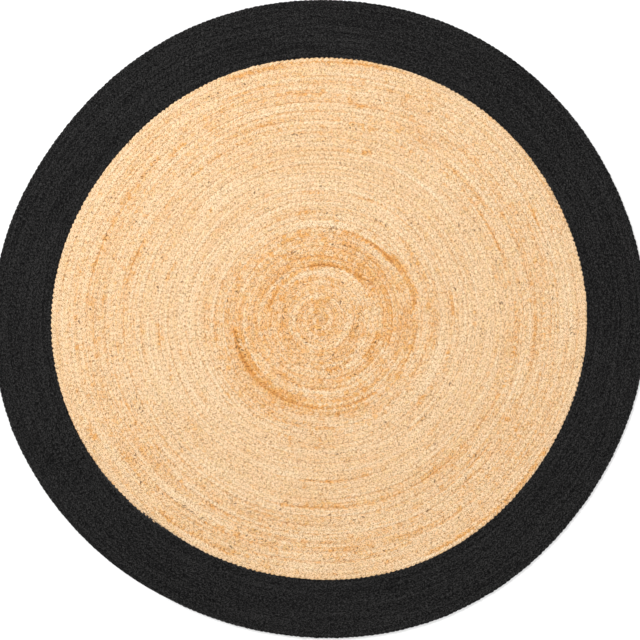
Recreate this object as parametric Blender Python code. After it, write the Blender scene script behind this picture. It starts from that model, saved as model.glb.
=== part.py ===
"""Round jute rug: one flat three-strand braid wound in a spiral, natural with a black border.

A maker plaits the braid, winds it flat from the middle outwards, counter-clockwise seen from
above, and sews every round to the one before it. The natural braid runs out to nothing beside
the start of the black one, and the black one runs out at the rim in the same way, so both
outlines step inwards there. The round is a little oval and uneven, as a rug made by hand is.

Metres, +Z up. The underside lies on Z = 0 and the origin is at the middle of the rug's box.
"""

from math import cos, exp, radians, sin, sqrt

import bmesh
import bpy
from mathutils import Vector

# The braid and its rounds, counted from the middle.
NATURAL_ROUNDS = 28
BORDER_ROUNDS = 7
NATURAL_BRAID_WIDTH = 0.0207
BORDER_BRAID_WIDTH = 0.0193
LOOSENESS = 0.0283          # how much the wider, looser rounds near the middle add to the radius
LOOSE_ROUNDS = 8            # rounds over which the looseness fades

# Heights of the top face: along the middle of a braid, in the seam beside it, and at the rim.
BRAID_HEIGHT = 0.0090
SEAM_HEIGHT = 0.0052
EYE_HEIGHT = 0.0074
RIM_HEIGHT = 0.0042
RIM_UNDERCUT = 0.0026       # the round rim stands this far out over the underside's edge

# The place of the spiral's start and of the two tapered ends, seen from above.
START_ANGLE = radians(255)
TAPER = 1 / 6               # the part of a round over which an ending braid narrows to nothing
COLOUR_GAP = 0.0003         # between the natural and the black braid
EYE_OFFSET = 0.007          # from the middle to the bottom of the dimple where the braid starts

STEPS = 60                  # stations in a round
SHARP_ANGLE = radians(50)   # edges bent more than this stay sharp: those of the underside
TAPER_STEPS = round(STEPS * TAPER)

# Unevenness of the rug's rim: waves in a round, height of a wave, direction of a crest.
RIM_WAVES = (
    # waves, height, crest in degrees
    (1, 0.0057, 328),
    (2, 0.0055, 11),
    (3, 0.0024, 64),
    (4, 0.0018, 7),
    (6, 0.0020, 56),
)

# Colour of each piece in linear red, green and blue, and its roughness.
NATURAL_JUTE = ((0.80, 0.57, 0.30), 0.95)
BLACK_JUTE = ((0.016, 0.015, 0.015), 0.92)

ROUNDS = NATURAL_ROUNDS + BORDER_ROUNDS


def seam_radius(rounds):
    """Mean radius of the seam on the inner side of the braid after this many rounds."""
    natural = min(rounds, NATURAL_ROUNDS)
    loose = LOOSENESS * (1 - exp(-natural / LOOSE_ROUNDS))
    return natural * NATURAL_BRAID_WIDTH + loose + (rounds - natural) * BORDER_BRAID_WIDTH


RIM_RADIUS = seam_radius(ROUNDS + 0.5)


def taper_share(rounds, end):
    """How far a braid that ends at round number end has narrowed: 0 full width, 1 nothing."""
    share = (rounds - end + TAPER) / TAPER
    share = min(max(share, 0.0), 1.0)
    return share * share * (3 - 2 * share)


def outer_radius(rounds, end):
    """Radius of the outer side of the braid, where the braid ends at round number end."""
    inner = seam_radius(rounds)
    full = seam_radius(rounds + 1)
    return full + (inner - full) * taper_share(rounds, end)


def place(station, radius, height):
    """Point at a station of the spiral, with the rim's unevenness in proportion to the radius."""
    angle = START_ANGLE + radians(360) * (station % STEPS) / STEPS
    sway = sum(size * cos(waves * (angle - radians(crest))) for waves, size, crest in RIM_WAVES)
    reach = radius * (1 + sway / RIM_RADIUS)
    return Vector((reach * cos(angle), reach * sin(angle), height))


def crown_place(station, inner, outer, full_width):
    """Point along the top of the braid, which sinks in a round curve where the braid narrows."""
    fullness = sqrt(min((outer - inner) / full_width, 1.0))
    height = SEAM_HEIGHT + (BRAID_HEIGHT - SEAM_HEIGHT) * fullness
    return place(station, (inner + outer) / 2, height)


def add_face(bm, corners):
    """Face through the corners, where corners that have come together count once."""
    bm.faces.new(dict.fromkeys(corners))


def add_braid(bm, seams, crowns, first, last):
    """Top face of a braid: two slopes from its crown to the seams at its sides."""
    for station in range(first, last):
        after = station + 1
        add_face(bm, (seams[station], crowns[station], crowns[after], seams[after]))
        outside, outside_after = seams[station + STEPS], seams[after + STEPS]
        add_face(bm, (crowns[station], outside, outside_after, crowns[after]))


def natural_coil():
    """Natural braid from the eye in the middle to its tapered end inside the border."""
    bm = bmesh.new()
    end = NATURAL_ROUNDS * STEPS
    eye = bm.verts.new((EYE_OFFSET * sin(START_ANGLE), -EYE_OFFSET * cos(START_ANGLE), EYE_HEIGHT))
    seams = dict.fromkeys(range(STEPS), eye)
    for station in range(STEPS, end + STEPS):
        radius = outer_radius(station / STEPS - 1, NATURAL_ROUNDS)
        seams[station] = bm.verts.new(place(station, radius, SEAM_HEIGHT))
    seams[end + STEPS] = seams[end]
    crowns = {}
    for station in range(end):
        rounds = station / STEPS
        inner, outer = seam_radius(rounds), outer_radius(rounds, NATURAL_ROUNDS)
        crowns[station] = bm.verts.new(crown_place(station, inner, outer, NATURAL_BRAID_WIDTH))
    crowns[end] = seams[end]
    add_braid(bm, seams, crowns, 0, end)
    add_face(bm, (eye, seams[STEPS], crowns[0]))
    edge = [seams[station] for station in range(end, end + STEPS)]
    underside = drop_wall(bm, edge, 0.0)
    bmesh.ops.contextual_create(bm, geom=underside)
    return finished(bm, "natural_coil")


def black_border():
    """Black braid from its tapered start beside the natural one to its tapered end at the rim."""
    bm = bmesh.new()
    joint, end = NATURAL_ROUNDS * STEPS, ROUNDS * STEPS
    start = joint - TAPER_STEPS
    seams = {}
    for station in range(start + 1, joint + STEPS - TAPER_STEPS + 1):
        rounds = station / STEPS if station < joint else station / STEPS - 1
        radius = outer_radius(rounds, NATURAL_ROUNDS) + COLOUR_GAP
        seams[station] = bm.verts.new(place(station, radius, SEAM_HEIGHT))
    for station in range(joint + STEPS - TAPER_STEPS + 1, end + STEPS):
        radius = outer_radius(station / STEPS - 1, ROUNDS)
        height = SEAM_HEIGHT if station < end else RIM_HEIGHT
        seams[station] = bm.verts.new(place(station, radius, height))
    seams[start] = seams[start + STEPS]
    seams[end + STEPS] = seams[end]
    crowns = {start: seams[start], end: seams[end]}
    for station in range(start + 1, end):
        rounds = station / STEPS
        inner = seam_radius(rounds)
        if station < joint:
            inner = outer_radius(rounds, NATURAL_ROUNDS)
        outer = outer_radius(rounds, ROUNDS)
        crowns[station] = bm.verts.new(crown_place(station, inner, outer, BORDER_BRAID_WIDTH))
    add_braid(bm, seams, crowns, start, end)
    inner_edge = [seams[station] for station in range(start, start + STEPS)]
    rim = [seams[station] for station in range(end, end + STEPS)]
    underside = drop_wall(bm, inner_edge, 0.0) + drop_wall(bm, rim, RIM_UNDERCUT)
    bmesh.ops.bridge_loops(bm, edges=underside)
    return finished(bm, "black_border")


def drop_wall(bm, loop, undercut):
    """Wall from a closed loop of points down to the underside; gives the underside's edges."""
    edges = [bm.edges.get((a, b)) for a, b in zip(loop, loop[1:] + loop[:1])]
    new = bmesh.ops.extrude_edge_only(bm, edges=edges)["geom"]
    for vert in (item for item in new if isinstance(item, bmesh.types.BMVert)):
        vert.co -= vert.co.normalized() * undercut
        vert.co.z = 0.0
    return [item for item in new if isinstance(item, bmesh.types.BMEdge) and item.is_boundary]


def finished(bm, name):
    """Object of a closed mesh, shaded smooth but for the edges of the underside."""
    bmesh.ops.recalc_face_normals(bm, faces=bm.faces[:])
    mesh = bpy.data.meshes.new(name)
    bm.to_mesh(mesh)
    bm.free()
    mesh.shade_smooth()
    mesh.set_sharp_from_angle(angle=SHARP_ANGLE)
    piece = bpy.data.objects.new(name, mesh)
    bpy.context.scene.collection.objects.link(piece)
    return piece


def give_finish(piece, name, finish):
    """Plain fibre finish in the jute's own colour."""
    colour, roughness = finish
    material = bpy.data.materials.new(name)
    material.use_nodes = True
    shader = material.node_tree.nodes["Principled BSDF"]
    shader.inputs["Base Color"].default_value = (*colour, 1.0)
    shader.inputs["Roughness"].default_value = roughness
    shader.inputs["Metallic"].default_value = 0.0
    piece.data.materials.append(material)


def centre_box(pieces):
    """Moves the pieces' meshes together so that the middle of their box is over the origin."""
    points = [vert.co for piece in pieces for vert in piece.data.vertices]
    middle = Vector((0.0, 0.0, 0.0))
    for axis in (0, 1):
        values = [point[axis] for point in points]
        middle[axis] = (min(values) + max(values)) / 2
    for point in points:
        point -= middle


def main():
    for thing in list(bpy.data.objects):
        bpy.data.objects.remove(thing, do_unlink=True)
    natural = natural_coil()
    border = black_border()
    centre_box((natural, border))
    give_finish(natural, "natural_jute", NATURAL_JUTE)
    give_finish(border, "black_jute", BLACK_JUTE)


main()
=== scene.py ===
"""Round jute rug: three-strand braid wound in a spiral, natural with a black border."""

import math

import bmesh
import bpy
import numpy as np
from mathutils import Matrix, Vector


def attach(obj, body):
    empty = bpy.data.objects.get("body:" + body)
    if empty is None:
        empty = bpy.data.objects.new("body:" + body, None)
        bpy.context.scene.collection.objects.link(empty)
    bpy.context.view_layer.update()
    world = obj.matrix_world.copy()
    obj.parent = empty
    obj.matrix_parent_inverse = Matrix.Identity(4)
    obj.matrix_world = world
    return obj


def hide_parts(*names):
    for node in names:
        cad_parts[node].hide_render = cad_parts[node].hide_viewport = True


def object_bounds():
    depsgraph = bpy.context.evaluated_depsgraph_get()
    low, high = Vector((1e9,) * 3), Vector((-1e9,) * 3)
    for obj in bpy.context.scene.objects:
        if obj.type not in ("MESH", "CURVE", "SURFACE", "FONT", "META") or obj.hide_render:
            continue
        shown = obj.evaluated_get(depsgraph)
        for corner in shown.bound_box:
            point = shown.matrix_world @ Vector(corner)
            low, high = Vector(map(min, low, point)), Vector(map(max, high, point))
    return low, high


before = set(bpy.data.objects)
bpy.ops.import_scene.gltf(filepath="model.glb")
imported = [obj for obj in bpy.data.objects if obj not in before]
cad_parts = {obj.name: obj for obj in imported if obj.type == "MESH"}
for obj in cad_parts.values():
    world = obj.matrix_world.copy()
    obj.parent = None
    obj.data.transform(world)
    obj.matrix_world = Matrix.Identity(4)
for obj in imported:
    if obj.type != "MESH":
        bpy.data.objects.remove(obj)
CAD_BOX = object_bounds()

bl_info = {
    "name": "Round Braided Jute Rug",
    "version": (1, 0, 0),
    "blender": (4, 5, 0),
    "location": "View3D > Sidebar > Jute Rug",
    "description": "Plaits, winds and finishes a round jute rug with a black border",
    "category": "Add Mesh",
}

# The spiral, as in the solids: rounds counted from the middle, sizes in metres.
NATURAL_ROUNDS = 28
BORDER_ROUNDS = 7
NATURAL_WIDTH = 0.0207
BORDER_WIDTH = 0.0193
LOOSENESS = 0.0283          # how much the looser rounds near the middle add to the radius
LOOSE_ROUNDS = 8            # rounds over which the looseness fades
START_ANGLE = math.radians(255)
TAPER = 1 / 6               # the part of a round in which an ending braid narrows to nothing
ROUNDS = NATURAL_ROUNDS + BORDER_ROUNDS
COIL_START = -0.85          # the braid's own start, a narrow end curled up in the middle
ROUND_STEPS = 360           # steps in a round by which a braid's length is added up
RIM_STEPS = 721             # points of the last round from which the rug's box is found
RIM_WAVES = (
    # waves in a round, height, crest in degrees
    (1, 0.0057, 328),
    (2, 0.0055, 11),
    (3, 0.0024, 64),
    (4, 0.0018, 7),
    (6, 0.0020, 56),
)

# Cross-section of a strand, from its flat underside round and back.
SECTION = np.array((
    # share of half its width, share of half its thickness
    (-0.62, -1.00),
    (0.62, -1.00),
    (1.00, 0.00),
    (0.64, 1.00),
    (-0.64, 1.00),
    (-1.00, 0.00),
    (-0.62, -1.00),
))
SIDES = len(SECTION) - 1
TOP_SIDE = 3                # which side of the section is its top
STATIONS = 10               # rings of points in one plait period
STRANDS = 3
FOLD = 0.45                 # how much thicker a strand is where it turns at the edge
LINGER = 0.10               # how far a strand stays along the edge before it turns back
LEAST_FULLNESS = 0.02       # share of its full width at which a braid gets no thinner

# A strand's slow changes along the braid: metres from one to the next, and how large they are.
PACE_CHANGES = (0.35, 0.30)         # radians of the plait's turn
PLUMP_CHANGES = (0.028, 0.04)       # share of the strand's width and thickness
RISE_CHANGES = (0.024, 0.0004)      # metres up or down
SIDE_CHANGES = (0.11, 0.0003)       # metres aside, the same for all strands of a braid
SCATTER = 0.00014                   # metres by which its points stray, as loose fibre does
JUST_UNDER = 1e-6                   # keeps the last point before the last change

# Seeds of the two braids, and what their strands add for each kind of change.
NATURAL_SEED = 11
BORDER_SEED = 47
PLUMP_SEED = 10
RISE_SEED = 20
SCATTER_SEED = 30

SEAM_WELD = 1e-7            # joins the two edges of a rolled strand
SOLID_WELD = 1e-5           # joins the points that faces of a solid share

# Packed fibre between the strands: its underside, its top, and how far it stays in from the rim.
GROUND_LOW = 0.0030
GROUND_HIGH = 0.0062
GROUND_INSET = 0.0045

# Browner stretches and dark bits of bark in the natural jute, as the photo shows them.
MARKED_FROM = (0.0066, -0.0023)     # the point that the marks' radii are measured from
MARK_ENDS = 10.0                    # mm in which a mark fades out at its ends
MARK_SIDES = 3                      # power by which a mark fades out at its sides
MM = 1000                           # in a metre
MARKS = (
    # from degree, to degree, radius at first, at last, half width in mm, amber, bark
    (0, 360, 0, 0, 245, 0.49, 0.00),
    (0, 360, 165, 165, 78, 0.53, 0.00),
    (0, 360, 505, 505, 90, 0.27, 0.00),
    (0, 360, 85, 85, 35, 0.00, 0.12),
    (187, 206, 203, 202, 6, 1.50, 0.45),
    (203, 250, 203, 201, 9, 1.25, 0.12),
    (248, 275, 201, 202, 7, 1.12, 0.05),
    (205, 245, 189, 189, 7, 0.70, 0.00),
    (250, 305, 200, 205, 8, 1.02, 0.05),
    (34, 50, 140, 136, 5, 1.45, 0.15),
    (50, 88, 133, 128, 5.5, 1.25, 0.10),
    (88, 110, 127, 126, 5, 1.40, 0.05),
    (110, 165, 126, 126, 6, 1.15, 0.00),
    (340, 385, 161, 161, 7, 1.08, 0.00),
    (25, 70, 161, 154, 5, 0.98, 0.00),
    (70, 135, 151, 147, 4.5, 0.85, 0.00),
    (10, 42, 221, 219, 10.5, 1.08, 0.00),
    (40, 76, 212, 209, 6, 1.20, 0.05),
    (322, 370, 217, 214, 9, 0.78, 0.00),
    (100, 150, 205, 196, 6, 0.88, 0.05),
    (275, 297, 119, 123, 4.5, 1.25, 0.05),
    (320, 345, 133, 135, 6, 1.35, 0.05),
    (240, 260, 110, 110, 5, 0.50, 0.00),
    (38, 72, 68, 59, 5, 0.80, 0.00),
    (160, 188, 88, 87, 7, 0.72, 0.00),
    (238, 265, 37, 37, 5, 0.80, 0.10),
    (288, 312, 36, 36, 4, 0.75, 0.10),
    (180, 400, 252, 256, 14, 0.45, 0.00),
    (38, 42, 57, 57, 3, 0.00, 1.00),
    (77, 80, 222, 221, 4, 0.00, 1.00),
    (82, 91, 216, 212, 4, 0.00, 0.60),
    (70, 72, 181, 181, 3, 0.00, 0.80),
    (121, 125, 93, 93, 3, 0.00, 0.80),
    (132, 136, 79, 79, 3, 0.00, 1.00),
    (175, 179, 65, 65, 3, 0.00, 0.90),
    (0, 12, 310, 303, 8, 0.59, 0.00),
    (33, 45, 270, 263, 5, 0.64, 0.00),
    (45, 48, 309, 308, 4, 0.00, 1.00),
    (48, 68, 305, 305, 3, 0.84, 0.15),
    (68, 78, 300, 294, 3, 0.54, 0.10),
    (90, 98, 296, 300, 3, 0.80, 0.00),
    (99, 103, 254, 253, 5, 0.80, 0.00),
    (83, 98, 250, 248, 4, 0.60, 0.15),
    (135, 137.5, 365, 360, 4, 1.05, 0.00),
    (160, 165, 367, 375, 4.5, 1.00, 0.00),
    (183, 189, 380, 380, 3, 0.78, 0.00),
    (198, 203, 372, 382, 4, 1.00, 0.05),
    (215, 220, 389, 389, 3, 0.57, 0.30),
    (263, 286, 375, 378, 3.5, 0.62, 0.05),
    (183, 197, 330, 341, 4.5, 0.60, 0.00),
    (217, 219.5, 280, 279, 5, 0.72, 0.00),
    (250, 255, 284, 282, 3, 0.86, 0.00),
    (319, 323, 296, 296, 6.5, 0.74, 0.00),
    (338, 348, 308, 308, 6, 0.76, 0.00),
    (356, 361, 313, 313, 4, 0.88, 0.00),
    (74, 76, 405, 405, 4, 0.90, 0.10),
    (81, 82.5, 401, 400, 4, 0.80, 0.00),
    (299, 301, 291, 291, 4, 0.20, 0.80),
    (301, 304, 322, 322, 3, 0.00, 0.70),
    (307.5, 313, 320, 321, 3.5, 0.00, 0.90),
    (313.5, 316, 325, 325, 3, 0.20, 0.80),
    (324.5, 326, 306, 306, 3, 0.00, 1.00),
    (276.5, 278, 314, 314, 3, 0.00, 0.80),
    (169.5, 170.5, 387, 387, 4, 0.00, 1.00),
    (175, 176, 329, 329, 3, 0.00, 1.00),
    (3, 4.5, 417, 417, 4, 0.00, 1.00),
    (2, 8.5, 351, 353, 3, 0.00, 0.70),
    (355.5, 357, 370, 370, 4, 0.00, 0.90),
    (353, 366, 517, 518, 3, 1.00, 0.00),
    (338, 363, 450, 454, 4.5, 0.96, 0.00),
    (298, 338, 442, 444, 4, 0.57, 0.00),
    (270, 295, 433, 440, 9, 0.67, 0.10),
    (18, 50, 444, 445, 6, 0.54, 0.00),
    (48, 67, 446, 444, 4, 0.92, 0.00),
    (24, 29, 550, 550, 6, 0.78, 0.00),
    (355, 378, 470, 473, 3, 0.05, 0.40),
    (75, 84, 458, 462, 3.5, 0.92, 0.15),
    (79, 80.5, 507, 507, 4, 0.90, 0.30),
    (76, 110, 602, 600, 6, 0.75, 0.00),
    (90, 106, 530, 531, 4.5, 0.73, 0.00),
    (103, 112, 559, 560, 4, 0.67, 0.00),
    (104, 108, 473, 473, 3, 0.72, 0.00),
    (103, 118, 454, 454, 3, 0.67, 0.15),
    (119, 131, 451, 452, 4, 0.73, 0.00),
    (128, 133, 520, 519, 4.5, 0.95, 0.15),
    (135, 142, 538, 538, 4, 0.95, 0.60),
    (140, 168, 530, 543, 11, 0.60, 0.00),
    (157, 170, 455, 469, 4, 0.67, 0.15),
    (185, 207, 471, 473, 3, 0.00, 0.65),
    (205, 207, 598, 598, 5, 1.05, 0.00),
    (212, 224, 557, 557, 4.5, 0.60, 0.00),
    (215, 226, 504, 504, 3, 0.57, 0.30),
    (231, 240, 543, 542, 3, 0.00, 1.00),
    (240, 257, 538, 536, 8, 0.67, 0.10),
    (230, 249, 583, 583, 6.5, 0.76, 0.00),
    (250, 271, 580, 580, 5, 0.57, 0.00),
    (253, 258, 463, 463, 3, 0.00, 0.65),
    (256, 268, 438, 438, 6, 0.60, 0.00),
    (270, 282, 551, 551, 4, 1.05, 0.00),
    (282, 292, 558, 560, 4.5, 0.60, 0.15),
    (255, 282, 531, 534, 4.5, 0.64, 0.00),
    (286, 296, 536, 537, 4.5, 0.58, 0.00),
    (294, 330, 600, 602, 7, 0.76, 0.00),
    (304, 309, 545, 545, 5, 0.58, 0.15),
    (270, 310, 466, 466, 3, 0.15, 0.40),
    (310, 313, 511, 511, 4, 0.82, 0.00),
    (208, 217, 427, 427, 4, 0.20, 0.45),
    (63, 64.5, 546, 546, 3.5, 0.00, 1.00),
    (17, 18.5, 552, 552, 3.5, 0.00, 1.00),
    (183.5, 191, 543, 541, 3.5, 0.00, 0.80),
    (157, 158.5, 542, 542, 3, 0.00, 0.90),
    (151.5, 153, 490, 490, 3.5, 0.00, 1.00),
    (357, 359, 580, 580, 4, 0.00, 1.00),
    (300, 304, 480, 477, 3.5, 0.20, 0.80),
    (98, 99.5, 436, 436, 3.5, 0.00, 0.80),
)


class JuteRugSizes(bpy.types.PropertyGroup):
    """Sizes of the plait."""

    period: bpy.props.FloatProperty(
        name="Plait period", default=0.0351, unit="LENGTH",
        description="Length of braid in which a strand crosses over and comes back")
    sway: bpy.props.FloatProperty(
        name="Sway", default=0.0063, unit="LENGTH",
        description="How far a strand swings to each side of the braid's middle")
    lift: bpy.props.FloatProperty(
        name="Lift", default=0.0018, unit="LENGTH",
        description="How far a strand rises and sinks where strands cross")
    width: bpy.props.FloatProperty(
        name="Strand width", default=0.0145, unit="LENGTH",
        description="Width of a strand, pressed flat in the braid")
    thickness: bpy.props.FloatProperty(
        name="Strand thickness", default=0.0044, unit="LENGTH",
        description="Thickness of a strand, pressed flat in the braid")
    middle: bpy.props.FloatProperty(
        name="Middle height", default=0.0045, unit="LENGTH",
        description="Height of the braid's middle above the floor")


class JuteRugColours(bpy.types.PropertyGroup):
    """Colours of the jute and the floor."""

    straw: bpy.props.FloatVectorProperty(
        name="Straw", subtype="COLOR", size=3, min=0, max=1, default=(0.84, 0.585, 0.348),
        description="Main colour of the undyed jute")
    cream: bpy.props.FloatVectorProperty(
        name="Cream", subtype="COLOR", size=3, min=0, max=1, default=(0.92, 0.76, 0.54),
        description="Palest fibres of the undyed jute")
    tan: bpy.props.FloatVectorProperty(
        name="Tan", subtype="COLOR", size=3, min=0, max=1, default=(0.70, 0.41, 0.17),
        description="Darker fibres of the undyed jute")
    peach: bpy.props.FloatVectorProperty(
        name="Peach", subtype="COLOR", size=3, min=0, max=1, default=(0.87, 0.56, 0.36),
        description="Pinkish locks of the undyed jute")
    olive: bpy.props.FloatVectorProperty(
        name="Olive", subtype="COLOR", size=3, min=0, max=1, default=(0.76, 0.54, 0.22),
        description="Greenish locks of the undyed jute")
    amber: bpy.props.FloatVectorProperty(
        name="Amber", subtype="COLOR", size=3, min=0, max=1, default=(0.91, 0.67, 0.365),
        description="Tint of the browner stretches, on the colour of the undyed jute")
    bark: bpy.props.FloatVectorProperty(
        name="Bark", subtype="COLOR", size=3, min=0, max=1, default=(0.15, 0.08, 0.035),
        description="Bits of bark left in the fibre")
    black: bpy.props.FloatVectorProperty(
        name="Black", subtype="COLOR", size=3, min=0, max=1, default=(0.0032, 0.0032, 0.0033),
        description="Dyed jute")
    grey: bpy.props.FloatVectorProperty(
        name="Grey", subtype="COLOR", size=3, min=0, max=1, default=(0.038, 0.037, 0.0365),
        description="Fibres where the black dye is thinner")
    floor: bpy.props.FloatVectorProperty(
        name="Floor", subtype="COLOR", size=3, min=0, max=1, default=(0.90, 0.90, 0.90),
        description="Studio floor")


# ---------------------------------------------------------------- the spiral

def soft_step(share):
    """Goes from 0 to 1 with the share, level at both ends."""
    return share * share * (3 - 2 * share)


def seam_radius(rounds):
    """Mean radius of the seam on the inner side of the braid after so many rounds."""
    outward = np.maximum(rounds, 0.0)
    natural = np.minimum(outward, NATURAL_ROUNDS)
    loose = LOOSENESS * (1 - np.exp(-natural / LOOSE_ROUNDS))
    return natural * NATURAL_WIDTH + loose + (outward - natural) * BORDER_WIDTH


RIM_RADIUS = float(seam_radius(ROUNDS + 0.5))


def taper_share(rounds, end):
    """How far a braid that ends at round number end has narrowed: 0 full width, 1 nothing."""
    return soft_step(np.clip((rounds - end + TAPER) / TAPER, 0, 1))


def outer_radius(rounds, end):
    """Radius of the outer side of the braid, where the braid ends at round number end."""
    inner, full = seam_radius(rounds), seam_radius(rounds + 1)
    return full + (inner - full) * taper_share(rounds, end)


def on_rug(rounds, radius, height):
    """Points of the rug, with the rim's unevenness in proportion to the radius."""
    angle = START_ANGLE + 2 * math.pi * rounds
    sway = sum(size * np.cos(waves * (angle - math.radians(crest)))
               for waves, size, crest in RIM_WAVES)
    reach = radius * (1 + sway / RIM_RADIUS)
    return np.stack([reach * np.cos(angle), reach * np.sin(angle), height], axis=-1)


def middle_of_box():
    """Middle of the box round the rim, which the rug's origin lies under."""
    rounds = np.linspace(ROUNDS - 1, ROUNDS, RIM_STEPS)
    rim = on_rug(rounds, outer_radius(rounds, ROUNDS), np.zeros_like(rounds))
    middle = (rim.min(axis=0) + rim.max(axis=0)) / 2
    middle[2] = 0.0
    return middle


class Braid:
    """Course of one braid: how far it runs in a number of rounds, and its two sides."""

    def __init__(self, first, last, width, inner_end=None):
        self.width, self.inner_end, self.last = width, inner_end, last
        self.rounds = np.linspace(first, last, int((last - first) * ROUND_STEPS) + 1)
        inner, outer = self.sides(self.rounds)
        pace = math.pi * (inner + outer)
        step = np.diff(self.rounds) * (pace[1:] + pace[:-1]) / 2
        self.run = np.concatenate([[0.0], np.cumsum(step)])
        self.length = float(self.run[-1])

    def sides(self, rounds):
        """Radii of the braid's inner and outer side."""
        inner = seam_radius(rounds)
        if self.inner_end is not None:
            early = outer_radius(rounds, self.inner_end)
            inner = np.where(rounds < self.inner_end, early, inner)
        return inner, outer_radius(rounds, self.last)

    def wind(self, run, across, height):
        """Points given along the straight braid, wound into the spiral."""
        rounds = np.interp(run, self.run, self.rounds)
        inner, outer = self.sides(rounds)
        share = (outer - inner) / NATURAL_WIDTH
        fullness = np.clip(share * NATURAL_WIDTH / self.width, LEAST_FULLNESS, 1)
        fullness = np.where(rounds < 0, 1.0, np.sqrt(fullness))
        return on_rug(rounds, (inner + outer) / 2 + across * share, height * fullness)


MIDDLE = middle_of_box()
NATURAL = Braid(COIL_START, NATURAL_ROUNDS, NATURAL_WIDTH)
BORDER = Braid(NATURAL_ROUNDS - TAPER, ROUNDS, BORDER_WIDTH, NATURAL_ROUNDS)


# ---------------------------------------------------------------- strands

def wander(run, spacing, amount, seed):
    """Slow irregular change along the braid: seeded heights joined by soft curves."""
    knots = np.arange(math.ceil(run.max() / spacing) + 2)
    heights = np.random.default_rng(seed).normal(0.0, amount, len(knots))
    place = np.clip(run / spacing, 0, knots[-1] - JUST_UNDER)
    before = np.floor(place).astype(int)
    share = soft_step(place - before)
    return heights[before] * (1 - share) + heights[before + 1] * share


def get_points(mesh):
    """Places of a mesh's points."""
    points = np.zeros(len(mesh.vertices) * 3, np.float32)
    mesh.vertices.foreach_get("co", points)
    return points.reshape(-1, 3).astype(float)


def set_points(mesh, points):
    """Moves a mesh's points to new places."""
    mesh.vertices.foreach_set("co", points.astype(np.float32).ravel())
    mesh.update()


def strand_points(run, around, number, sizes, seed):
    """Points of one strand along a straight braid: run, across and height."""
    turn = 2 * math.pi / sizes.period
    phase = turn * run + 2 * math.pi * number / STRANDS + wander(run, *PACE_CHANGES, seed)
    plump = 1 + wander(run, *PLUMP_CHANGES, seed + PLUMP_SEED + number)
    corner = np.linspace(0, 1, SIDES + 1)
    aside = sizes.width / 2 * plump * np.interp(around, corner, SECTION[:, 0])
    above = sizes.thickness / 2 * plump * np.interp(around, corner, SECTION[:, 1])
    above *= 1 + FOLD * np.sin(phase) ** 2
    across = sizes.sway * (np.sin(phase) + LINGER * np.sin(3 * phase))
    slope = sizes.sway * turn * (np.cos(phase) + 3 * LINGER * np.cos(3 * phase))
    square = np.sqrt(1 + slope * slope)
    height = sizes.middle - sizes.lift * np.sin(2 * phase) + above
    height += wander(run, *RISE_CHANGES, seed + RISE_SEED + number)
    side = across + aside / square + wander(run, *SIDE_CHANGES, seed)
    return run - aside * slope / square, side, np.maximum(height, 0.0)


def strand_mesh(name, braid, number, sizes, seed):
    """Closed mesh of one strand: a flat grid rolled up, plaited and wound."""
    periods = braid.length / sizes.period
    bm = bmesh.new()
    bm.loops.layers.uv.new("strand")
    bmesh.ops.create_grid(bm, x_segments=round(periods * STATIONS), y_segments=SIDES,
                          size=0.5, calc_uvs=True)
    mesh = bpy.data.meshes.new(name)
    bm.to_mesh(mesh)
    flat = get_points(mesh)
    run, around = (flat[:, 0] + 0.5) * braid.length, flat[:, 1] + 0.5
    course = strand_points(run, around, number, sizes, seed)
    points = braid.wind(*course)
    set_points(mesh, points - MIDDLE)
    store(mesh, "course", "FLOAT_VECTOR", "vector", np.stack(course, axis=-1))
    amber, bark = marks_at(points - MIDDLE)
    store(mesh, "amber", "FLOAT", "value", amber)
    store(mesh, "bark", "FLOAT", "value", bark)
    bm.clear()
    bm.from_mesh(mesh)
    bmesh.ops.remove_doubles(bm, verts=bm.verts[:], dist=SEAM_WELD)
    bmesh.ops.holes_fill(bm, edges=[edge for edge in bm.edges if edge.is_boundary])
    bmesh.ops.recalc_face_normals(bm, faces=bm.faces[:])
    bm.to_mesh(mesh)
    bm.free()
    scale_uv(mesh, braid.length, sizes)
    roughen(mesh, seed + SCATTER_SEED + number)
    mesh.shade_smooth()
    return mesh


def store(mesh, name, kind, field, values):
    """Keeps a value for each point of the mesh, for its finish to read."""
    layer = mesh.attributes.new(name, kind, "POINT")
    layer.data.foreach_set(field, values.astype(np.float32).ravel())


def roughen(mesh, seed):
    """Scatters a strand's points a little, as loose fibre does."""
    points = get_points(mesh)
    points += np.random.default_rng(seed).normal(0.0, SCATTER, points.shape)
    points[:, 2] = np.maximum(points[:, 2], 0.0)
    set_points(mesh, points)


def scale_uv(mesh, length, sizes):
    """Turns the strand's map into metres along it and metres round it from its top's middle."""
    layer = mesh.uv_layers["strand"]
    uv = np.zeros(len(layer.uv) * 2, np.float32)
    layer.uv.foreach_get("vector", uv)
    uv = uv.reshape(-1, 2)
    sides = np.diff(SECTION, axis=0) * (sizes.width / 2, sizes.thickness / 2)
    round_it = np.concatenate([[0.0], np.cumsum(np.hypot(sides[:, 0], sides[:, 1]))])
    round_it -= (round_it[TOP_SIDE] + round_it[TOP_SIDE + 1]) / 2
    uv[:, 0] *= length
    uv[:, 1] = np.interp(uv[:, 1], np.linspace(0, 1, SIDES + 1), round_it)
    layer.uv.foreach_set("vector", uv.ravel())


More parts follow.
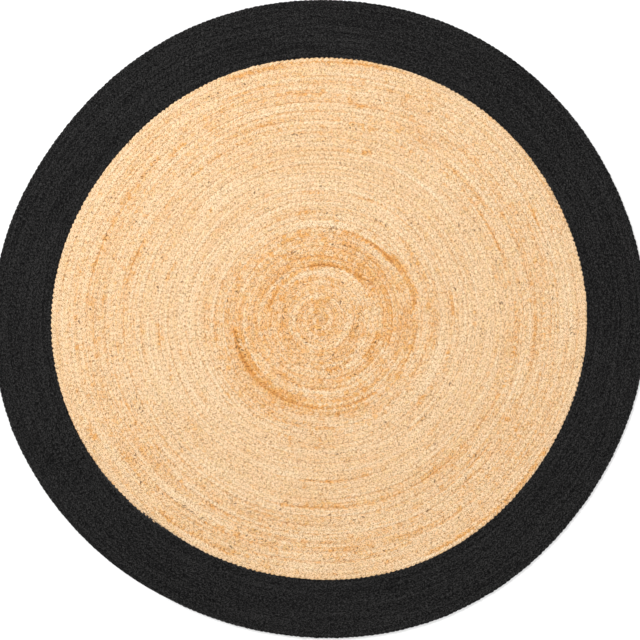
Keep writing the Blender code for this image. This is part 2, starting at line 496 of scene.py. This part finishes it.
def marks_at(points):
    """Strength of the amber stretches and of the bits of bark at points of the rug."""
    aside, along = points[:, 0] - MARKED_FROM[0], points[:, 1] - MARKED_FROM[1]
    radius = np.hypot(aside, along) * MM
    degree = np.degrees(np.arctan2(along, aside))
    strengths = np.zeros((2, len(points)))
    for first, last, radius_first, radius_last, width, amber, bark in MARKS:
        before = 180 - (last - first) / 2
        past = (degree - first + before) % 360 - before
        share = np.clip(past / (last - first), 0, 1)
        off = (radius - radius_first - (radius_last - radius_first) * share) / width
        beyond = np.radians(past - share * (last - first)) * radius / MARK_ENDS
        place = np.exp(-np.abs(off) ** MARK_SIDES - beyond * beyond)
        strengths = np.maximum(strengths, np.outer((amber, bark), place))
    return strengths


def ground_mesh(name, node):
    """Thin sheet inside the braid: the solid's own form, drawn in and almost level on top."""
    bm = bmesh.new()
    bm.from_mesh(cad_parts[node].data)
    bmesh.ops.remove_doubles(bm, verts=bm.verts[:], dist=SOLID_WELD)
    flat = 1 - GROUND_INSET / RIM_RADIUS
    share = (GROUND_HIGH - GROUND_LOW) / CAD_BOX[1].z
    bmesh.ops.scale(bm, vec=(flat, flat, share), verts=bm.verts[:])
    bmesh.ops.translate(bm, vec=(0, 0, GROUND_LOW), verts=bm.verts[:])
    mesh = bpy.data.meshes.new(name)
    bm.to_mesh(mesh)
    bm.free()
    mesh.shade_smooth()
    return mesh


def add_piece(mesh, nodes, material):
    """Object of a mesh that rides on the rug and stands for the CAD nodes."""
    piece = bpy.data.objects.new(mesh.name, mesh)
    bpy.context.scene.collection.objects.link(piece)
    mesh.materials.append(material)
    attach(piece, "root")
    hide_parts(*nodes)
    return piece


# ---------------------------------------------------------------- writing a finish

NOISE_MIDDLE = 0.5          # the value about which a noise swings
MIX_INPUTS = (0, 6, 7)      # share, first and second colour of a colour mix, among its sockets
MIX_RESULT = 2
STRAND_SHIFT = (3.7, 5.3)   # of a strand's patterns from those of the strand before


class Nodes:
    """Short way to write a material's nodes."""

    def __init__(self, name):
        self.material = bpy.data.materials.new(name)
        self.material.use_nodes = True
        self.tree = self.material.node_tree
        self.shader = self.tree.nodes["Principled BSDF"]

    def add(self, kind, values=None, **settings):
        """Node with the given settings, its inputs linked or set to the given values."""
        node = self.tree.nodes.new(kind)
        for key, value in settings.items():
            setattr(node, key, value)
        for key, value in (values or {}).items():
            self.feed(node.inputs[key], value)
        return node

    def feed(self, socket, value):
        """Links a value of another node to a socket, or sets it."""
        if isinstance(value, bpy.types.NodeSocket):
            self.tree.links.new(value, socket)
        else:
            socket.default_value = value

    def math(self, operation, first, second=0.0):
        return self.add("ShaderNodeMath", {0: first, 1: second},
                        operation=operation).outputs[0]

    def attribute(self, name, field):
        return self.add("ShaderNodeAttribute", attribute_name=name).outputs[field]

    def here(self):
        """Place of a point on the object, in metres."""
        return self.add("ShaderNodeTexCoord").outputs["Object"]

    def stretch(self, vector, scale, location):
        return self.add("ShaderNodeMapping", {"Vector": vector, "Scale": scale,
                                              "Location": location}).outputs[0]

    def noise(self, vector, scale=1.0, detail=2.0, roughness=0.5):
        return self.add("ShaderNodeTexNoise", {
            "Vector": vector, "Scale": scale, "Detail": detail, "Roughness": roughness,
        }).outputs["Fac"]

    def total(self, patterns, shares, start=0.0):
        """Sum of the patterns about their middle, each times its own share."""
        result = start
        for name, share in shares.items():
            swing = self.math("SUBTRACT", patterns[name], NOISE_MIDDLE)
            result = self.math("ADD", self.math("MULTIPLY", swing, share), result)
        return result

    def ramp(self, value, *stops):
        """Colour ramp through the given places and colours."""
        low, high = stops[0][0], stops[-1][0]
        node = self.add("ShaderNodeValToRGB", {"Fac": self.band(value, low, high)})
        while len(node.color_ramp.elements) < len(stops):
            node.color_ramp.elements.new(1.0)
        for element, (place, colour) in zip(node.color_ramp.elements, stops):
            element.position = (place - low) / (high - low)
            element.color = (*colour, 1.0)
        return node.outputs[0]

    def band(self, value, low, high, to_low=0.0, to_high=1.0):
        """Share that goes from one value to the other as the given value crosses a band."""
        return self.add("ShaderNodeMapRange", {
            "Value": value, "From Min": low, "From Max": high, "To Min": to_low,
            "To Max": to_high}, clamp=True).outputs[0]

    def mix(self, share, first, second, blend="MIX"):
        """Mixes the second colour into the first, each a socket or red, green and blue."""
        node = self.add("ShaderNodeMix", data_type="RGBA", blend_type=blend)
        colours = [value if isinstance(value, bpy.types.NodeSocket) else (*value, 1.0)
                   for value in (first, second)]
        for index, value in zip(MIX_INPUTS, (share, *colours)):
            self.feed(node.inputs[index], value)
        return node.outputs[MIX_RESULT]

    def finish(self, colour, relief, height, roughness):
        """The material with its colour, a relief of the given height, and its roughness."""
        bump = self.add("ShaderNodeBump", {"Height": relief, "Distance": height,
                                           "Strength": 1.0})
        self.feed(self.shader.inputs["Base Color"], colour)
        self.feed(self.shader.inputs["Normal"], bump.outputs[0])
        self.shader.inputs["Roughness"].default_value = roughness
        return self.material


class StrandNodes(Nodes):
    """Nodes of one strand's finish, with its own map and its course in the braid."""

    def __init__(self, name, number):
        super().__init__(f"{name}_{number}")
        self.uv = self.add("ShaderNodeUVMap", uv_map="strand").outputs[0]
        self.course = self.attribute("course", "Vector")
        self.shift = (number * STRAND_SHIFT[0], number * STRAND_SHIFT[1], 0)

    def patterns(self, on_strand, on_braid):
        """Noises by name, from a table of those on the strand and one of those on the braid."""
        found = {}
        for name, along, across, detail, roughness in on_strand:
            vector = self.stretch(self.uv, (along, across, 1), self.shift)
            found[name] = self.noise(vector, detail=detail, roughness=roughness)
        for name, along, across, offset, detail, roughness in on_braid:
            vector = self.stretch(self.course, (along, across, 0), (0, offset, 0))
            found[name] = self.noise(vector, detail=detail, roughness=roughness)
        return found

    def off_middle(self, vector):
        """Distance to either side of the middle, where the vector is along and across."""
        return self.math("ABSOLUTE", self.add("ShaderNodeSeparateXYZ", {0: vector}).outputs[1])

    def painted_dip_shade(self):
        """Share of painted shade where a strand dips under the next, inside the braid and not at
        its sides.
        """
        return self.math("MULTIPLY", self.band(self.off_middle(self.uv), *PAINTED_DIP_SHADE_BAND),
                         self.band(self.off_middle(self.course), *PAINTED_DIP_SHADE_SIDE_BAND))


# ---------------------------------------------------------------- finishes

# Patterns of the fibre, a noise each.
NATURAL_STRAND = (
    # name, repeats in a metre along the strand, across it, detail, roughness
    ("grain", 320, 560, 0, 0.5),
    ("fibre", 150, 420, 1, 0.5),
    ("hair", 70, 1500, 0, 0.5),
    ("lock", 50, 260, 1, 0.5),
    ("leaf", 55, 25, 1, 0.5),
    ("batch", 4, 0, 2, 0.6),
)
NATURAL_BRAID = (
    # name, repeats in a metre along the braid, across it, offset, detail, roughness
    ("streak", 4, 140, 0, 2, 0.6),
    ("spell", 1.3, 32, 3.1, 2, 0.5),
    ("crowd", 9, 60, 5.5, 1, 0.5),
)
BLACK_STRAND = (
    # name, repeats in a metre along the strand, across it, detail, roughness
    ("grain", 330, 450, 0, 0.5),
    ("fibre", 110, 400, 1, 0.5),
)
BLACK_BRAID = (
    # name, repeats in a metre along the braid, across it, offset, detail, roughness
    ("streak", 4, 140, 0, 2, 0.6),
)
DRIFT_SCALE = 7.0           # slow change over the whole rug
DRIFT_DETAIL = 3
TINT_SCALE = (38, 60, 1)    # of the peach and olive locks
TINT_SHIFT = (9.1, 4.4)     # from strand to strand, and for all
CELL_SCALE = (100, 240, 1)  # of the bits of bark
PACKED_SCALE = 450.0        # of the packed fibre
FLOOR_SCALE = 300.0

# How much of each pattern is in a strand's age, in its amber patches and in its relief, which
# also sets the painted shade in its hollows.
AGE_SHARES = {"hair": 0.6, "fibre": 0.2, "lock": 0.1, "leaf": 0.1, "batch": 0.2,
              "streak": 0.6, "spell": 0.3, "drift": 0.2}
PATCH_SHARES = {"leaf": 1.4, "lock": 1.3, "fibre": 0.4, "batch": 0.4, "streak": 1.2,
                "spell": 0.55}
RELIEF_SHARES = {"grain": 1.2, "fibre": 0.2, "hair": 0.5}
CROWD_SHARES = {"crowd": 1.0}
BLACK_AGE_SHARES = {"grain": 1.4, "fibre": 0.9, "streak": 0.5}
BLACK_RELIEF_SHARES = {"fibre": 0.8, "grain": 0.6}
MEAN_AGE = 0.34             # of natural fibre, between cream and bark
AGES = (0.00, 0.36, 0.74, 1.30)     # of cream, straw, tan and bark
EVEN = 0.5                  # mean age of black fibre, and mean height of a relief

# Bands of a value, with the shares at their two ends where those aren't 0 and 1.
STAIN_BAND = (0.8, 1.4, 0.0, 0.60)      # of amber strength, and what it adds to the age
PATCH_BAND = (0.25, 0.90)               # of amber strength, from bare straw to amber
PEACH_BAND = (0.54, 0.74, 0.0, 0.28)    # of the tint, above its middle
OLIVE_BAND = (0.46, 0.26, 0.0, 0.25)    # of the tint, below its middle
BARK_PULL = 0.7                         # how much a bark mark adds to a cell's chance
FLECK_BAND = (0.95, 1.01)               # of a cell's chance, from bare to a bit of bark
CELL_BAND = (0.34, 0.52, 0.85, 0.0)     # from a cell's middle to its edge
PAINTED_HOLLOW_SHADE_BAND = (0.47, 0.27, 0.0, 1.4)    # of the relief, from level to deep: share of painted shade in the hollows
GREY_BAND = (0.36, 0.86)                # of black fibre's age, from black to grey
PACKED_BAND = (0.3, 0.7)                # of packed fibre, from dark to light
PAINTED_DIP_SHADE_BAND = (0.0046, 0.0074, 0.0, 0.75)  # metres from the middle of a strand's top, where painted shade sets in as it dips
PAINTED_DIP_SHADE_SIDE_BAND = (0.0085, 0.0060)            # metres from the middle of the braid, over which that painted shade fades out at its sides

# Painted shade that multiplies a colour: in a hollow of the fibre, and where a strand dips.
PAINTED_HOLLOW_SHADE = (0.45, 0.38, 0.29)
PAINTED_DIP_SHADE = (0.45, 0.38, 0.28)
BLACK_PAINTED_DIP_SHADE = (0.5, 0.5, 0.5)
# Not shade: the darker tone of the floor's grain.
FLOOR_SHADE = 0.98

# Height of the relief in metres, and roughness.
NATURAL_SURFACE = (0.0008, 0.9)
BLACK_SURFACE = (0.0022, 0.85)
PACKED_SURFACE = (0.0006, 0.95)
FLOOR_SURFACE = (0.0001, 0.9)
NATURAL_SPECULAR = 0.25
BLACK_SPECULAR = 0.06
NATURAL_SHEEN = 0.05


def natural_finish(colours, number):
    """Undyed jute strand: straw with pale and brown fibres, browner stretches, bits of bark, and
    painted shade in hollows and dips.
    """
    n = StrandNodes("natural_jute", number)
    patterns = n.patterns(NATURAL_STRAND, NATURAL_BRAID)
    patterns["drift"] = n.noise(n.here(), DRIFT_SCALE, DRIFT_DETAIL)
    stained = n.attribute("amber", "Fac")
    age = n.total(patterns, AGE_SHARES, MEAN_AGE)
    age = n.math("ADD", age, n.band(stained, *STAIN_BAND))
    fibres = (colours.cream, colours.straw, colours.tan, colours.bark)
    colour = n.ramp(age, *zip(AGES, fibres))
    patch = n.math("ADD", stained, n.total(patterns, PATCH_SHARES))
    colour = n.mix(n.band(patch, *PATCH_BAND), colour, colours.amber, "MULTIPLY")
    shift = (number * TINT_SHIFT[0], TINT_SHIFT[1], 0)
    tint = n.noise(n.stretch(n.uv, TINT_SCALE, shift), detail=1)
    colour = n.mix(n.band(tint, *PEACH_BAND), colour, colours.peach)
    colour = n.mix(n.band(tint, *OLIVE_BAND), colour, colours.olive)
    colour = n.mix(flecks(n, patterns), colour, colours.bark)
    relief = n.total(patterns, RELIEF_SHARES, EVEN)
    # Painted shade in the fibre's hollows, where the relief is deep.
    colour = n.mix(n.band(relief, *PAINTED_HOLLOW_SHADE_BAND), colour, PAINTED_HOLLOW_SHADE, "MULTIPLY")
    # Painted shade where a strand dips under the next.
    colour = n.mix(n.painted_dip_shade(), colour, PAINTED_DIP_SHADE, "MULTIPLY")
    n.shader.inputs["Specular IOR Level"].default_value = NATURAL_SPECULAR
    n.shader.inputs["Sheen Weight"].default_value = NATURAL_SHEEN
    return n.finish(colour, relief, *NATURAL_SURFACE)


def flecks(n, patterns):
    """Share of bark at a point: a few small cells, most where a bark mark is."""
    cells = n.add("ShaderNodeTexVoronoi", {
        "Vector": n.stretch(n.uv, CELL_SCALE, n.shift), "Scale": 1.0})
    chance = n.math("ADD", cells.outputs["Color"], n.total(patterns, CROWD_SHARES))
    marked = n.math("MULTIPLY", n.attribute("bark", "Fac"), BARK_PULL)
    chance = n.math("ADD", chance, marked)
    return n.math("MULTIPLY", n.band(chance, *FLECK_BAND),
                  n.band(cells.outputs["Distance"], *CELL_BAND))


def black_finish(colours, number):
    """Dyed jute strand: near black with greyer fibres, and painted shade where a strand dips."""
    n = StrandNodes("black_jute", number)
    patterns = n.patterns(BLACK_STRAND, BLACK_BRAID)
    age = n.total(patterns, BLACK_AGE_SHARES, EVEN)
    colour = n.mix(n.band(age, *GREY_BAND), colours.black, colours.grey)
    # Painted shade where a strand dips under the next.
    colour = n.mix(n.painted_dip_shade(), colour, BLACK_PAINTED_DIP_SHADE, "MULTIPLY")
    n.shader.inputs["Specular IOR Level"].default_value = BLACK_SPECULAR
    return n.finish(colour, n.total(patterns, BLACK_RELIEF_SHARES, EVEN), *BLACK_SURFACE)


def ground_finish(name, dark, light):
    """Packed fibre deep between the strands."""
    n = Nodes(name)
    fibre = n.noise(n.here(), PACKED_SCALE, detail=1)
    return n.finish(n.mix(n.band(fibre, *PACKED_BAND), dark, light), fibre, *PACKED_SURFACE)


def floor_finish(colours):
    """Plain pale floor."""
    n = Nodes("floor")
    grain = n.noise(n.here(), FLOOR_SCALE, detail=1)
    darker = tuple(FLOOR_SHADE * part for part in colours.floor)
    return n.finish(n.mix(grain, darker, colours.floor), grain, *FLOOR_SURFACE)


# ---------------------------------------------------------------- the stage

FLOOR_SIZE = 16.0
FLOOR_GAP = 0.0002          # below the rug's underside
SKY_STRENGTH = 0.86
LAMPS = (
    # name, place, size, power
    ("key", (-1.5, 1.7, 2.6), 1.2, 68.0),
    ("fill", (1.9, -1.2, 2.4), 2.0, 18.0),
)
IMAGE_PIXELS = 640
PIXEL_SIZE = 0.00233        # metres of the rug in a pixel of the photo
CAMERA_LENS = 70.0
CAMERA_ASIDE = (0.0019, -0.0023)


def make_floor(colours):
    """Floor under the rug, which isn't part of it."""
    bm = bmesh.new()
    bmesh.ops.create_grid(bm, x_segments=1, y_segments=1, size=FLOOR_SIZE / 2)
    bmesh.ops.translate(bm, vec=(0, 0, -FLOOR_GAP), verts=bm.verts[:])
    mesh = bpy.data.meshes.new("floor")
    bm.to_mesh(mesh)
    bm.free()
    floor = bpy.data.objects.new("floor", mesh)
    bpy.context.scene.collection.objects.link(floor)
    mesh.materials.append(floor_finish(colours))


def make_lights(scene):
    """Bright even surroundings, and two lamps from above."""
    world = bpy.data.worlds.new("studio")
    world.use_nodes = True
    background = world.node_tree.nodes["Background"]
    background.inputs["Color"].default_value = (1, 1, 1, 1)
    background.inputs["Strength"].default_value = SKY_STRENGTH
    scene.world = world
    for name, place, size, power in LAMPS:
        lamp = bpy.data.lights.new(name, "AREA")
        lamp.energy, lamp.shape, lamp.size = power, "DISK", size
        light = bpy.data.objects.new(name, lamp)
        light.location = place
        light.rotation_euler = (-light.location).to_track_quat("-Z", "Y").to_euler()
        scene.collection.objects.link(light)


def make_camera(scene):
    """Camera straight above the rug, as far off as the photo's scale asks."""
    data = bpy.data.cameras.new("camera")
    data.lens = CAMERA_LENS
    camera = bpy.data.objects.new("camera", data)
    view = IMAGE_PIXELS * PIXEL_SIZE
    height = view * data.lens / data.sensor_width + CAD_BOX[1].z
    camera.location = (*CAMERA_ASIDE, height)
    scene.collection.objects.link(camera)
    scene.camera = camera


# ---------------------------------------------------------------- operators

def add_strands(scene, braid, name, node, finish, seed):
    """Plaits, winds and adds the strands of one braid."""
    for number in range(STRANDS):
        mesh = strand_mesh(f"{name}_strand_{number + 1}", braid, number,
                           scene.jute_rug_sizes, seed)
        add_piece(mesh, [node], finish(scene.jute_rug_colours, number))


class JUTERUG_OT_natural_strands(bpy.types.Operator):
    """Plaits and winds the three strands of the natural braid"""

    bl_idname = "juterug.natural_strands"
    bl_label = "Natural Strands"

    def execute(self, context):
        add_strands(context.scene, NATURAL, "natural", "natural_coil",
                    natural_finish, NATURAL_SEED)
        return {"FINISHED"}


class JUTERUG_OT_black_strands(bpy.types.Operator):
    """Plaits and winds the three strands of the black braid"""

    bl_idname = "juterug.black_strands"
    bl_label = "Black Strands"

    def execute(self, context):
        add_strands(context.scene, BORDER, "black", "black_border",
                    black_finish, BORDER_SEED)
        return {"FINISHED"}


class JUTERUG_OT_ground(bpy.types.Operator):
    bl_idname = "juterug.ground"
    bl_label = "Packed Fibre"

    def execute(self, context):
        colours = context.scene.jute_rug_colours
        natural = add_piece(ground_mesh("natural_ground", "natural_coil"), ["natural_coil"],
                            ground_finish("natural_ground", colours.tan, colours.cream))
        black = add_piece(ground_mesh("black_ground", "black_border"), ["black_border"],
                          ground_finish("black_ground", colours.black, colours.grey))
        return {"FINISHED"}


class JUTERUG_OT_stage(bpy.types.Operator):
    """Sets the floor, the lights and the camera"""

    bl_idname = "juterug.stage"
    bl_label = "Stage"

    def execute(self, context):
        scene = context.scene
        make_floor(scene.jute_rug_colours)
        make_lights(scene)
        make_camera(scene)
        scene.view_settings.view_transform = "Standard"
        return {"FINISHED"}


STEPS = (JUTERUG_OT_natural_strands, JUTERUG_OT_black_strands, JUTERUG_OT_ground,
         JUTERUG_OT_stage)


class JUTERUG_PT_panel(bpy.types.Panel):
    """Sizes, colours and steps of the rug"""

    bl_idname = "JUTERUG_PT_panel"
    bl_label = "Jute Rug"
    bl_space_type = "VIEW_3D"
    bl_region_type = "UI"
    bl_category = "Jute Rug"

    def draw(self, context):
        for group in (context.scene.jute_rug_sizes, context.scene.jute_rug_colours):
            box = self.layout.box()
            for name in group.__annotations__:
                box.prop(group, name)
        for operator in STEPS:
            self.layout.operator(operator.bl_idname)


CLASSES = (JuteRugSizes, JuteRugColours, *STEPS, JUTERUG_PT_panel)


def register():
    for cls in CLASSES:
        bpy.utils.register_class(cls)
    bpy.types.Scene.jute_rug_sizes = bpy.props.PointerProperty(type=JuteRugSizes)
    bpy.types.Scene.jute_rug_colours = bpy.props.PointerProperty(type=JuteRugColours)


def unregister():
    del bpy.types.Scene.jute_rug_colours
    del bpy.types.Scene.jute_rug_sizes
    for cls in reversed(CLASSES):
        bpy.utils.unregister_class(cls)


def main():
    register()
    bpy.ops.juterug.natural_strands()
    bpy.ops.juterug.black_strands()
    bpy.ops.juterug.ground()
    bpy.ops.juterug.stage()


if __name__ == "__main__":
    main()
